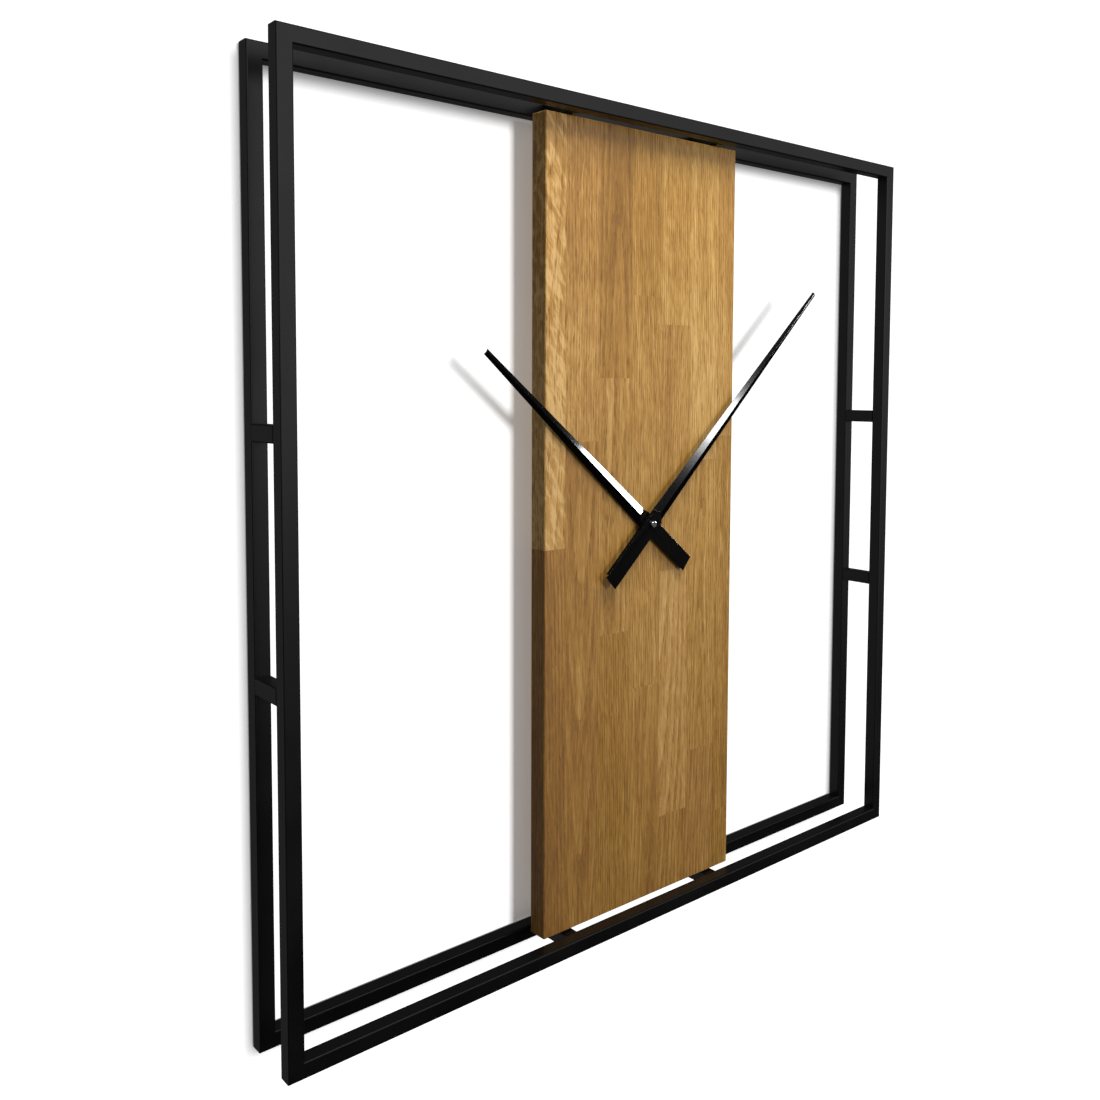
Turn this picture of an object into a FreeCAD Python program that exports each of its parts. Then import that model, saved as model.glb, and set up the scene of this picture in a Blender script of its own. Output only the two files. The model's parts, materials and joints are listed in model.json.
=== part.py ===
"""Square skeleton wall clock: two welded steel frames, an oak panel, folded hands and a quartz movement.

Frame: +Z up, -Y is the front, the wall is the plane y = 0, and the origin is midway between the two
hanging holes in the rear top bar. Millimetres throughout.
"""
import FreeCAD
import Part
import math
import os

os.makedirs("parts", exist_ok=True)
V = FreeCAD.Vector

# ---- frame ----
FRAME_SIZE = 800.0  # outside of each square frame
FRAME_DEPTH = 65.0  # wall to the front of the front frame
TUBE = 14.0  # square tube, outside
TUBE_WALL = 1.5
TUBE_CORNER = 1.5  # outside corner radius of the tube
SPACER_OFFSET = 100.0  # spacers stand this far each side of the middle of each bar
HANGER_SPACING = 300.0
HANGER_RADIUS = 4.5
DIAL_Z = -(FRAME_SIZE - TUBE) / 2  # the hands' axis, below the hanging holes
INNER_HALF = FRAME_SIZE / 2 - TUBE  # half of the frame's opening

# ---- oak panel ----
PANEL_WIDTH = 261.0
PANEL_THICKNESS = 20.0
PANEL_FRONT = -46.5
PANEL_BACK = PANEL_FRONT + PANEL_THICKNESS
PANEL_MID = PANEL_FRONT + PANEL_THICKNESS / 2
PANEL_WASHER = 1.5  # gap between the panel's ends and the spacers
PANEL_HALF = INNER_HALF - PANEL_WASHER
PANEL_EASE = 0.8  # chamfer on the panel's edges
POCKET = 60.0  # square pocket routed in the back for the movement
POCKET_CORNER = 6.0
POCKET_FLOOR = -39.0
SHAFT_HOLE_RADIUS = 4.2
SCREW_RADIUS = 2.2
SCREW_LENGTH = 28.0
SCREW_HEAD_RADIUS = 4.0
SCREW_HEAD_HEIGHT = 2.2
SCREW_HOLE_RADIUS = 2.3
DRIVER_HOLE_RADIUS = 5.0
SOCKET_RADIUS = 1.4
PANEL_WASHER_RADIUS = 7.0
PILOT_SPARE = 2.0  # the pilot hole is this much deeper than the screw

# ---- hands, folded from thin sheet ----
SHEET = 0.8
HAND_HALF_WIDTH = 8.6
FLANGE_DEPTH = 3.0
FLANGE_CUT_BACK = 4.0  # the flanges stop short of the tail's end
FOLD_SLOPE = 0.35  # how far each side of the ridge falls back, per mm of width
FOLD_APEX = 16.0  # the ridge starts this far from the axis
FOLD_EDGE = 9.0  # the flat hub ends here at its two edges
FOLD_FOOT = 11.5  # the folded sides reach their full slope here
MINUTE_HAND_FACE = -57.0
MINUTE_HAND_LENGTH = 353.0
MINUTE_HAND_TAIL = 77.0
MINUTE_HAND_TIP = 2.7
MINUTE_HAND_ANGLE = 46.9  # clockwise from 12, seen from the front
HOUR_HAND_FACE = -52.0
HOUR_HAND_LENGTH = 261.0
HOUR_HAND_TAIL = 72.0
HOUR_HAND_TIP = 3.1
HOUR_HAND_ANGLE = 309.6
COLLET_LENGTH = 1.2
MINUTE_COLLET_RADIUS = 3.5
HOUR_COLLET_RADIUS = 4.4
CAP_NUT_RADIUS = 3.8
CAP_NUT_LENGTH = 2.4
CAP_NUT_ROUNDING = 1.1
CAP_NUT_GROOVES = 12
CAP_NUT_END = 0.6  # thickness of its closed end
CAP_NUT_FLOOR = MINUTE_HAND_FACE - CAP_NUT_LENGTH + CAP_NUT_END  # its bore ends here

# ---- washer and nut on the front of the panel ----
DIAL_WASHER_RADIUS = 7.0
DIAL_WASHER_THICKNESS = 0.8
HEX_NUT_HALF_FLATS = 5.0
HEX_NUT_THICKNESS = 2.2
GASKET_RADIUS = 13.0

# ---- movement case; depths are measured from its front face ----
GASKET = 1.0
CASE_FRONT = POCKET_FLOOR + GASKET
CASE_SIZE = 56.0
CASE_DEPTH = 20.0
CASE_WALL = 1.5
CASE_CORNER = 2.0
CASE_SPLIT = 12.0
PLATE_FRONT = 8.0  # middle plate
PLATE_BACK = 9.0
PLATE_BOTTOM = -10.0
PLATE_TOP = 15.0
BOSS_FRONT = 16.9  # rear bearing bosses, 0.1 clear of the shoulders of the arbors
BOSS_RADIUS = 1.5

CASE_POSTS = ((-23.0, -7.5), (23.0, -7.5), (-23.0, 12.5), (23.0, 12.5))
POST_RADIUS = 1.5
BAY_SKIN = 1.0  # walls round the battery
BAY_GAP = 0.2
BAY_HALF = 25.5

# ---- depths of the moving pieces, front to back ----
FRONT_BEARING = 0.8  # pivots run from here in the front cover
PLATE_BEARING = 8.1  # or from here in the middle plate
REAR_BEARING = 17.8  # to here in the rear case
HOUR_WHEEL_LEVEL = (2.0, 3.2)
MINUTE_PINION_LEVEL = (1.9, 3.9)
MINUTE_WHEEL_LEVEL = (3.8, 4.8)
CANNON_LEVEL = (3.4, 5.3)
MINUTE_WHEEL_POST_END = 5.2
CLUTCH_LEVEL = (5.4, 5.9)
CENTRE_LEVEL = (6.0, 7.0)
CENTRE_SEAT_LEVEL = (5.2, 9.4)
THIRD_PINION_LEVEL = (5.6, 7.4)
THIRD_LEVEL = (10.0, 10.8)
SECONDS_PINION_LEVEL = (9.7, 11.2)
SECONDS_LEVEL = (13.0, 13.8)
FIFTH_PINION_LEVEL = (12.6, 14.2)
FIFTH_LEVEL = (15.0, 15.8)
ROTOR_PINION_LEVEL = (14.7, 16.1)
ROTOR_MAGNET_LEVEL = (10.9, 13.4)
KNOB_LEVEL = (20.5, 23.0)
KNOB_SOCKET_END = 22.0

# ---- motor, electronics and contacts ----
STATOR_LEVEL = (11.4, 12.4)
STATOR_REACH = 19.0
STATOR_BOTTOM = 6.5
STATOR_LEG = 6.0
ROTOR_HOLE = 3.4
CORE_LEVEL = (10.2, 11.4)
COIL_HEIGHT = 21.0
COIL_HALF = 12.5
CORE_HALF = 1.75
BOARD_SIDES = (13.6, 25.8)
BOARD_ENDS = (-9.0, 14.0)
BOARD_LEVEL = (14.4, 15.2)
CHIP_AT = (19.5, 5.0)
CHIP_RADIUS = 2.6
CHIP_HEIGHT = 1.0
CRYSTAL_RADIUS = 1.0
CRYSTAL_LENGTH = 6.0
CONTACT_SHEET = 0.4
CONTACT_LEVEL = (6.0, 17.0)
CONTACT_BOTTOM = -25.0
LEAF_ENDS = (-23.5, -14.5)
LEAF_WIDTH = 5.0

# ---- shafts and gears ----
RUNNING = 0.05  # radial clearance of a running fit
SNUG = 0.02  # radial gap where two pieces are pressed together
PIVOT = 0.3  # radii
PIVOT_LENGTH = 1.0
ARBOR = 0.5
CENTRE_SEAT = 1.1
SETTING_SHAFT = 1.2
HOUR_TUBE = 2.55
HOUR_BORE = 1.65
MINUTE_TUBE = HOUR_BORE - RUNNING
MINUTE_THREAD = 1.3
BUSHING_OUTER = 3.95
FLANGE_RADIUS = 5.2
MOTION_MODULE = 0.3
TRAIN_MODULE = 0.2
CANNON_TEETH = 10
MINUTE_WHEEL_TEETH = 30
MINUTE_PINION_TEETH = 8
HOUR_WHEEL_TEETH = 32
SETTING_TEETH = 15
CENTRE_TEETH = 60
THIRD_PINION_TEETH = 8
THIRD_TEETH = 64
SECONDS_PINION_TEETH = 8
SECONDS_TEETH = 60
FIFTH_PINION_TEETH = 10
FIFTH_TEETH = 60
ROTOR_TEETH = 12
MOTION_DISTANCE = MOTION_MODULE * (CANNON_TEETH + MINUTE_WHEEL_TEETH) / 2
SETTING_DISTANCE = MOTION_MODULE * (MINUTE_WHEEL_TEETH + SETTING_TEETH) / 2
THIRD_DISTANCE = TRAIN_MODULE * (THIRD_TEETH + SECONDS_PINION_TEETH) / 2
CENTRE_MODULE = 2 * THIRD_DISTANCE / (CENTRE_TEETH + THIRD_PINION_TEETH)
FIFTH_DISTANCE = TRAIN_MODULE * (SECONDS_TEETH + FIFTH_PINION_TEETH) / 2
ROTOR_DISTANCE = TRAIN_MODULE * (FIFTH_TEETH + ROTOR_TEETH) / 2
KNOB_RADIUS = 5.5
KNOB_FLUTES = 16

# ---- battery, an AA cell lying along X ----
BATTERY_RADIUS = 7.25
BATTERY_LEFT = -24.9
BATTERY_RIGHT = 23.9
BATTERY_NUB_END = 25.2
BATTERY_NUB_RADIUS = 2.7
BATTERY_HEIGHT = -19.0
BATTERY_DEPTH = 12.0
BAY_TOP = BATTERY_HEIGHT + BATTERY_RADIUS + 0.15
BAY_FLOOR = BATTERY_DEPTH - BATTERY_RADIUS - 0.2


def polar(start, distance, degrees):
    """The point at that distance and direction from start, in the plane of the dial."""
    angle = math.radians(degrees)
    return (start[0] + distance * math.cos(angle), start[1] + distance * math.sin(angle))


AXIS = (0.0, 0.0)
MINUTE_WHEEL_AT = polar(AXIS, MOTION_DISTANCE, 230.0)
SETTING_AT = polar(MINUTE_WHEEL_AT, SETTING_DISTANCE, 180.0)
THIRD_AT = polar(AXIS, THIRD_DISTANCE, 150.0)
FIFTH_AT = polar(AXIS, FIFTH_DISTANCE, 40.0)
ROTOR_AT = polar(FIFTH_AT, ROTOR_DISTANCE, 60.0)


# ---------------------------------------------------------------- helpers
def save(name, shape):
    """Writes one node's solids to its own STEP file."""
    solids = shape.Solids
    for solid in solids:
        if not solid.isValid() or solid.Volume <= 0:
            raise ValueError(name + " has a solid that isn't valid")
    whole = solids[0] if len(solids) == 1 else Part.makeCompound(solids)
    whole.exportStep("parts/" + name + ".step")
    print(f"{name:24s} {len(solids):2d} solids {whole.Volume:12.2f} mm3")


def block(x0, x1, y0, y1, z0, z1):
    return Part.makeBox(x1 - x0, y1 - y0, z1 - z0, V(x0, y0, z0))


def deep(depth):
    """The y of a depth in the movement."""
    return CASE_FRONT + depth


def slab(x0, x1, z0, z1, front, back):
    """A block in the movement, by its depths."""
    return block(x0, x1, deep(front), deep(back), z0, z1)


def rod(at, radius, front, back):
    """A round bar along Y in the movement, by its depths."""
    return Part.makeCylinder(radius, back - front, V(at[0], deep(front), at[1]), V(0, 1, 0))


def ring(at, outer, inner, front, back):
    return rod(at, outer, front, back).cut(rod(at, inner, front - 1, back + 1))


def disc(radius, y0, y1):
    """A round bar along Y on the hands' axis, by its y."""
    return Part.makeCylinder(radius, y1 - y0, V(0, y0, 0), V(0, 1, 0))


def collar(outer, inner, y0, y1):
    return disc(outer, y0, y1).cut(disc(inner, y0 - 1, y1 + 1))


def prism(points, y0, y1):
    """An outline in the plane of the dial, given as (x, z) points, made solid from y0 to y1."""
    corners = [V(x, y0, z) for x, z in points]
    face = Part.Face(Part.makePolygon(corners + corners[:1]))
    return face.extrude(V(0, y1 - y0, 0))


def joined(shapes):
    """One solid from several that touch or overlap."""
    return shapes[0].multiFuse(shapes[1:]).removeSplitter()


def at_dial(shape):
    """Moves a shape made around the hands' axis to its place in the clock."""
    shape.translate(V(0, 0, DIAL_Z))
    return shape


def rounded_square(half, radius):
    """A square wire with round corners in the XY plane, centred on the origin."""
    if radius == 0:
        points = [V(-half, -half, 0), V(half, -half, 0), V(half, half, 0), V(-half, half, 0)]
        return Part.makePolygon(points + points[:1])
    edges = []
    inner = half - radius
    diagonal = radius * math.sqrt(0.5)
    for turn in range(4):
        cos, sin = ((1, 0), (0, 1), (-1, 0), (0, -1))[turn]

        def place(x, y):
            return V(x * cos - y * sin, x * sin + y * cos, 0)

        edges.append(Part.makeLine(place(half, -inner), place(half, inner)))
        arc = Part.Arc(place(half, inner), place(inner + diagonal, inner + diagonal), place(inner, half))
        edges.append(arc.toShape())
    return Part.Wire(edges)


def square_tube(length):
    """A piece of square tube standing along Z, centred on the origin."""
    outer = Part.Face(rounded_square(TUBE / 2, TUBE_CORNER)).extrude(V(0, 0, length))
    inner = Part.Face(rounded_square(TUBE / 2 - TUBE_WALL, 0)).extrude(V(0, 0, length))
    tube = outer.cut(inner)
    tube.translate(V(0, 0, -length / 2))
    return tube


# ---------------------------------------------------------------- steel frames
def mitred_bar():
    """One side of a square frame, lying along X with its outer face up, mitred at both ends."""
    bar = square_tube(FRAME_SIZE)
    bar.rotate(V(0, 0, 0), V(0, 1, 0), 90)
    half = FRAME_SIZE / 2
    margin = 1.0
    low = -TUBE / 2 - margin
    for side in (1, -1):
        wedge = prism(
            [
                (side * (half + margin), TUBE / 2 + margin),
                (side * (half - TUBE - margin), low),
                (side * (half + margin), low),
            ],
            -TUBE,
            TUBE,
        )
        bar = bar.cut(wedge)
    return bar


def frame_bar(turn, y_middle):
    """The bar turned clockwise from the top to its side of the frame, at its depth."""
    bar = mitred_bar()
    bar.translate(V(0, 0, (FRAME_SIZE - TUBE) / 2))
    bar.rotate(V(0, 0, 0), V(0, 1, 0), turn)
    bar.translate(V(0, y_middle, DIAL_Z))
    return bar


def frames():
    sides = (("top", 0), ("right", 90), ("bottom", 180), ("left", 270))
    depths = (("front", TUBE / 2 - FRAME_DEPTH), ("rear", -TUBE / 2))
    for frame, y_middle in depths:
        for side, turn in sides:
            bar = frame_bar(turn, y_middle)
            if (frame, side) == ("rear", "top"):
                for x in (-HANGER_SPACING / 2, HANGER_SPACING / 2):
                    depth = 2 * TUBE_WALL
                    hole = Part.makeCylinder(HANGER_RADIUS, depth, V(x, -depth, 0), V(0, 1, 0))
                    bar = bar.cut(hole)
            save(frame + "_" + side + "_bar", bar)


def spacer():
    """A short tube between the two frames, along Y, on the hands' axis."""
    tube = square_tube(FRAME_DEPTH - 2 * TUBE)
    tube.rotate(V(0, 0, 0), V(1, 0, 0), 90)
    tube.translate(V(0, -FRAME_DEPTH / 2, 0))
    return tube


def spacers():
    reach = (FRAME_SIZE - TUBE) / 2
    for name, turn in (("top", 0), ("right", 90), ("bottom", 180), ("left", 270)):
        pair = []
        for offset in (-SPACER_OFFSET, SPACER_OFFSET):
            tube = spacer()
            if name in ("top", "bottom"):
                wall = TUBE_WALL * 2
                high = V(0, PANEL_MID, TUBE / 2 - TUBE_WALL)
                low = V(0, PANEL_MID, -TUBE / 2 - TUBE_WALL)
                tube = tube.cut(Part.makeCylinder(DRIVER_HOLE_RADIUS, wall, high))
                tube = tube.cut(Part.makeCylinder(SCREW_HOLE_RADIUS, wall, low))
            tube.translate(V(offset, 0, reach))
            tube.rotate(V(0, 0, 0), V(0, 1, 0), turn)
            pair.append(at_dial(tube))
        save(name + "_spacers", Part.makeCompound(pair))


# ---------------------------------------------------------------- oak panel and its fixings
def panel_places():
    """The four (x, turn) places where the panel is screwed to the spacers."""
    return [(x, turn) for turn in (0, 180) for x in (-SPACER_OFFSET, SPACER_OFFSET)]


def oak_panel():
    half = PANEL_WIDTH / 2
    panel = block(-half, half, PANEL_FRONT, PANEL_BACK, -PANEL_HALF, PANEL_HALF)
    panel = panel.makeChamfer(PANEL_EASE, panel.Edges)
    pocket = Part.Face(rounded_square(POCKET / 2, POCKET_CORNER)).extrude(V(0, 0, POCKET))
    pocket.rotate(V(0, 0, 0), V(1, 0, 0), -90)
    pocket.translate(V(0, POCKET_FLOOR, 0))
    panel = panel.cut(pocket).cut(disc(SHAFT_HOLE_RADIUS, PANEL_FRONT - 1, PANEL_BACK))
    for x, turn in panel_places():
        bottom = V(x, PANEL_MID, PANEL_HALF - SCREW_LENGTH)
        pilot = Part.makeCylinder(SCREW_RADIUS + SNUG, SCREW_LENGTH, bottom)
        pilot.rotate(V(0, 0, 0), V(0, 1, 0), turn)
        panel = panel.cut(pilot)
    save("oak_panel", at_dial(panel))


def panel_fixings():
    washers = []
    screws = []
    seat = INNER_HALF + TUBE_WALL
    for x, turn in panel_places():
        washer = Part.makeCylinder(PANEL_WASHER_RADIUS, PANEL_WASHER, V(x, PANEL_MID, PANEL_HALF))
        hole = Part.makeCylinder(SCREW_HOLE_RADIUS, 2 * PANEL_WASHER, V(x, PANEL_MID, PANEL_HALF - 0.5))
        washer = washer.cut(hole)
        shank_end = PANEL_HALF - SCREW_LENGTH + PILOT_SPARE
        shank = Part.makeCylinder(SCREW_RADIUS, seat - shank_end + 0.5, V(x, PANEL_MID, shank_end))
        head = Part.makeCylinder(SCREW_HEAD_RADIUS, SCREW_HEAD_HEIGHT, V(x, PANEL_MID, seat))
        socket_bottom = V(x, PANEL_MID, seat + SCREW_HEAD_HEIGHT / 2)
        socket = Part.makeCylinder(SOCKET_RADIUS, SCREW_HEAD_HEIGHT, socket_bottom)
        screw = joined([head, shank]).cut(socket)
        for shape, group in ((washer, washers), (screw, screws)):
            shape.rotate(V(0, 0, 0), V(0, 1, 0), turn)
            group.append(at_dial(shape))
    save("panel_washers", Part.makeCompound(washers))
    save("panel_screws", Part.makeCompound(screws))


# ---------------------------------------------------------------- hands
def sheet_piece(corners):
    """A flat piece of sheet from (along, across, back) corners, thick towards the back."""
    front = [V(across, back, along) for along, across, back in corners]
    rear = [V(p.x, p.y + SHEET, p.z) for p in front]
    faces = [
        Part.Face(Part.makePolygon(front + front[:1])),
        Part.Face(Part.makePolygon(rear + rear[:1])),
    ]
    count = len(front)
    for i in range(count):
        j = (i + 1) % count
        side = [front[i], front[j], rear[j], rear[i], front[i]]
        faces.append(Part.Face(Part.makePolygon(side)))
    solid = Part.Solid(Part.Shell(faces))
    return solid if solid.Volume > 0 else solid.reversed()


def folded_hand(length, tail, tip, bore):
    """A hand pointing up from the axis: a flanged tail, a flat hub and a ridged blade."""

    def half_width(along):
        return HAND_HALF_WIDTH + (tip - HAND_HALF_WIDTH) * along / length

    edge = half_width(FOLD_EDGE)
    foot = half_width(FOLD_FOOT)
    hub = [
        (-tail, -HAND_HALF_WIDTH, 0),
        (-tail, HAND_HALF_WIDTH, 0),
        (0, HAND_HALF_WIDTH, 0),
        (FOLD_EDGE, edge, 0),
        (FOLD_APEX, 0, 0),
        (FOLD_EDGE, -edge, 0),
        (0, -HAND_HALF_WIDTH, 0),
    ]
    pieces = [sheet_piece(hub)]
    for side in (1, -1):
        wall = sorted([side * HAND_HALF_WIDTH, side * (HAND_HALF_WIDTH - SHEET)])
        pieces.append(block(wall[0], wall[1], 0, FLANGE_DEPTH + SHEET, FLANGE_CUT_BACK - tail, 0))
        apex = (FOLD_APEX, 0, 0)
        corner = (FOLD_EDGE, side * edge, 0)
        bottom = (FOLD_FOOT, side * foot, foot * FOLD_SLOPE)
        pieces.append(sheet_piece([apex, corner, bottom]))
        end = (length, side * tip, tip * FOLD_SLOPE)
        pieces.append(sheet_piece([apex, bottom, end, (length, 0, 0)]))
    hand = joined(pieces)
    return hand.cut(disc(bore, -1, 2))


def place_hand(hand, face, angle):
    hand.rotate(V(0, 0, 0), V(0, 1, 0), angle)
    hand.translate(V(0, face, DIAL_Z))
    return hand


def hands():
    minute = folded_hand(MINUTE_HAND_LENGTH, MINUTE_HAND_TAIL, MINUTE_HAND_TIP, MINUTE_THREAD + SNUG)
    save("minute_hand", place_hand(minute, MINUTE_HAND_FACE, MINUTE_HAND_ANGLE))
    hour = folded_hand(HOUR_HAND_LENGTH, HOUR_HAND_TAIL, HOUR_HAND_TIP, HOUR_TUBE + SNUG)
    save("hour_hand", place_hand(hour, HOUR_HAND_FACE, HOUR_HAND_ANGLE))
    minute_back = MINUTE_HAND_FACE + SHEET
    hour_back = HOUR_HAND_FACE + SHEET
    minute_end = minute_back + COLLET_LENGTH
    hour_end = hour_back + COLLET_LENGTH
    minute_collet = collar(MINUTE_COLLET_RADIUS, MINUTE_TUBE + SNUG, minute_back, minute_end)
    hour_collet = collar(HOUR_COLLET_RADIUS, HOUR_TUBE + SNUG, hour_back, hour_end)
    save("minute_hand_collet", at_dial(minute_collet))
    save("hour_hand_collet", at_dial(hour_collet))


def minute_hand_nut():
    """A small closed cap nut with a domed end and a knurled rim."""
    front = MINUTE_HAND_FACE - CAP_NUT_LENGTH
    nut = disc(CAP_NUT_RADIUS, front, MINUTE_HAND_FACE)
    rim = [e for e in nut.Edges if abs(e.BoundBox.YMax - front) < 0.01 and e.Length > CAP_NUT_RADIUS * 3]
    nut = nut.makeFillet(CAP_NUT_ROUNDING, rim)
    groove_front = MINUTE_HAND_FACE - CAP_NUT_LENGTH / 2
    for i in range(CAP_NUT_GROOVES):
        x, z = polar(AXIS, CAP_NUT_RADIUS + 0.15, 360.0 * i / CAP_NUT_GROOVES)
        nut = nut.cut(Part.makeCylinder(0.3, 1.2, V(x, groove_front, z), V(0, 1, 0)))
    nut = nut.cut(disc(MINUTE_THREAD + SNUG, CAP_NUT_FLOOR, MINUTE_HAND_FACE + 1))
    save("minute_hand_nut", at_dial(nut))


# ---------------------------------------------------------------- fixing the movement to the panel
def movement_fixings():
    save("rubber_gasket", at_dial(collar(GASKET_RADIUS, SHAFT_HOLE_RADIUS, POCKET_FLOOR, CASE_FRONT)))
    washer_front = PANEL_FRONT - DIAL_WASHER_THICKNESS
    washer = collar(DIAL_WASHER_RADIUS, BUSHING_OUTER + RUNNING, washer_front, PANEL_FRONT)
    save("dial_washer", at_dial(washer))
    corner = HEX_NUT_HALF_FLATS / math.cos(math.radians(30))
    points = [polar(AXIS, corner, 60.0 * i) for i in range(6)]
    nut_front = washer_front - HEX_NUT_THICKNESS
    thread = disc(BUSHING_OUTER + SNUG, nut_front - 1, washer_front + 1)
    save("hex_nut", at_dial(prism(points, nut_front, washer_front).cut(thread)))
    bore = HOUR_TUBE + RUNNING
    sleeve = collar(BUSHING_OUTER, bore, nut_front - 0.3, CASE_FRONT + 0.5)
    flange = collar(FLANGE_RADIUS, bore, CASE_FRONT + 0.5, deep(CASE_WALL))
    save("threaded_bushing", at_dial(joined([sleeve, flange])))


# ---------------------------------------------------------------- gears
def gear(at, teeth, module, phase, level):
    """A toothed disc. A tooth points along phase, in radians from +X towards +Z."""
    pitch = module * teeth / 2
    tip = pitch + 0.72 * module
    root = pitch - 1.05 * module
    step = 2 * math.pi / teeth
    root_half = 0.23 * step
    tip_half = 0.10 * step
    points = []
    for i in range(teeth):
        middle = phase + i * step
        for radius, angle in ((root, -root_half), (tip, -tip_half), (tip, tip_half), (root, root_half)):
            points.append(polar(at, radius, math.degrees(middle + angle)))
    return prism(points, deep(level[0]), deep(level[1]))


def meshing(at, teeth, other_at, other_teeth, other_phase):
    """The phase that puts a gear in mesh with another that is already placed."""
    towards = math.atan2(at[1] - other_at[1], at[0] - other_at[0])
    other_step = 2 * math.pi / other_teeth
    step = 2 * math.pi / teeth
    past = (towards - other_phase) / other_step
    past -= math.floor(past)
    return towards + math.pi + (past + 0.5) * step


def arbor(at, front, back):
    """A shaft with a thinner pivot at each end."""
    body = rod(at, ARBOR, front + PIVOT_LENGTH, back - PIVOT_LENGTH)
    return [body, rod(at, PIVOT, front, back)]


PHASE_CANNON = math.atan2(MINUTE_WHEEL_AT[1], MINUTE_WHEEL_AT[0])
PHASE_MINUTE_WHEEL = meshing(MINUTE_WHEEL_AT, MINUTE_WHEEL_TEETH, AXIS, CANNON_TEETH, PHASE_CANNON)
PHASE_SETTING = meshing(SETTING_AT, SETTING_TEETH, MINUTE_WHEEL_AT, MINUTE_WHEEL_TEETH, PHASE_MINUTE_WHEEL)
PHASE_HOUR = meshing(AXIS, HOUR_WHEEL_TEETH, MINUTE_WHEEL_AT, MINUTE_PINION_TEETH, 0)
PHASE_THIRD_PINION = meshing(THIRD_AT, THIRD_PINION_TEETH, AXIS, CENTRE_TEETH, 0)
PHASE_SECONDS_PINION = meshing(AXIS, SECONDS_PINION_TEETH, THIRD_AT, THIRD_TEETH, 0)
PHASE_FIFTH_PINION = meshing(FIFTH_AT, FIFTH_PINION_TEETH, AXIS, SECONDS_TEETH, 0)
PHASE_ROTOR = meshing(ROTOR_AT, ROTOR_TEETH, FIFTH_AT, FIFTH_TEETH, 0)


def motion_work():
    """The wheels behind the dial that turn the hour hand once for twelve turns of the minute hand."""
    tube_front = HOUR_HAND_FACE - 0.4
    tube = disc(HOUR_TUBE, tube_front, deep(HOUR_WHEEL_LEVEL[1]))
    wheel = gear(AXIS, HOUR_WHEEL_TEETH, MOTION_MODULE, PHASE_HOUR, HOUR_WHEEL_LEVEL)
    hour = joined([tube, wheel]).cut(disc(HOUR_BORE, tube_front - 1, deep(HOUR_WHEEL_LEVEL[1] + 1)))
    save("hour_wheel", at_dial(hour))

    wheel = gear(MINUTE_WHEEL_AT, MINUTE_WHEEL_TEETH, MOTION_MODULE, PHASE_MINUTE_WHEEL, MINUTE_WHEEL_LEVEL)
    pinion = gear(MINUTE_WHEEL_AT, MINUTE_PINION_TEETH, MOTION_MODULE, 0, MINUTE_PINION_LEVEL)
    bore = rod(MINUTE_WHEEL_AT, ARBOR + RUNNING, FRONT_BEARING, MINUTE_WHEEL_POST_END + 1)
    save("minute_wheel", at_dial(joined([wheel, pinion]).cut(bore)))


def minute_arbor():
    """The tube that carries the minute hand, with its cannon pinion and the centre wheel's seat."""
    shoulder = MINUTE_HAND_FACE + SHEET
    thread_end = CAP_NUT_FLOOR + 0.2
    parts = [
        disc(MINUTE_THREAD, thread_end, shoulder + 0.2),
        disc(MINUTE_TUBE, shoulder, deep(CANNON_LEVEL[0] + 0.1)),
        gear(AXIS, CANNON_TEETH, MOTION_MODULE, PHASE_CANNON, CANNON_LEVEL),
        rod(AXIS, CENTRE_SEAT, CENTRE_SEAT_LEVEL[0], CENTRE_SEAT_LEVEL[1]),
    ]
    bore = disc(ARBOR + RUNNING, thread_end - 1, deep(CENTRE_SEAT_LEVEL[1] + 1))
    save("minute_arbor", at_dial(joined(parts).cut(bore)))
    seat = rod(AXIS, CENTRE_SEAT + SNUG, CENTRE_LEVEL[0] - 1, CENTRE_LEVEL[1] + 1)
    wheel = gear(AXIS, CENTRE_TEETH, CENTRE_MODULE, 0, CENTRE_LEVEL).cut(seat)
    save("centre_wheel", at_dial(wheel))
    save("clutch_spring", at_dial(ring(AXIS, 2.5, CENTRE_SEAT + SNUG, CLUTCH_LEVEL[0], CLUTCH_LEVEL[1])))


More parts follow.
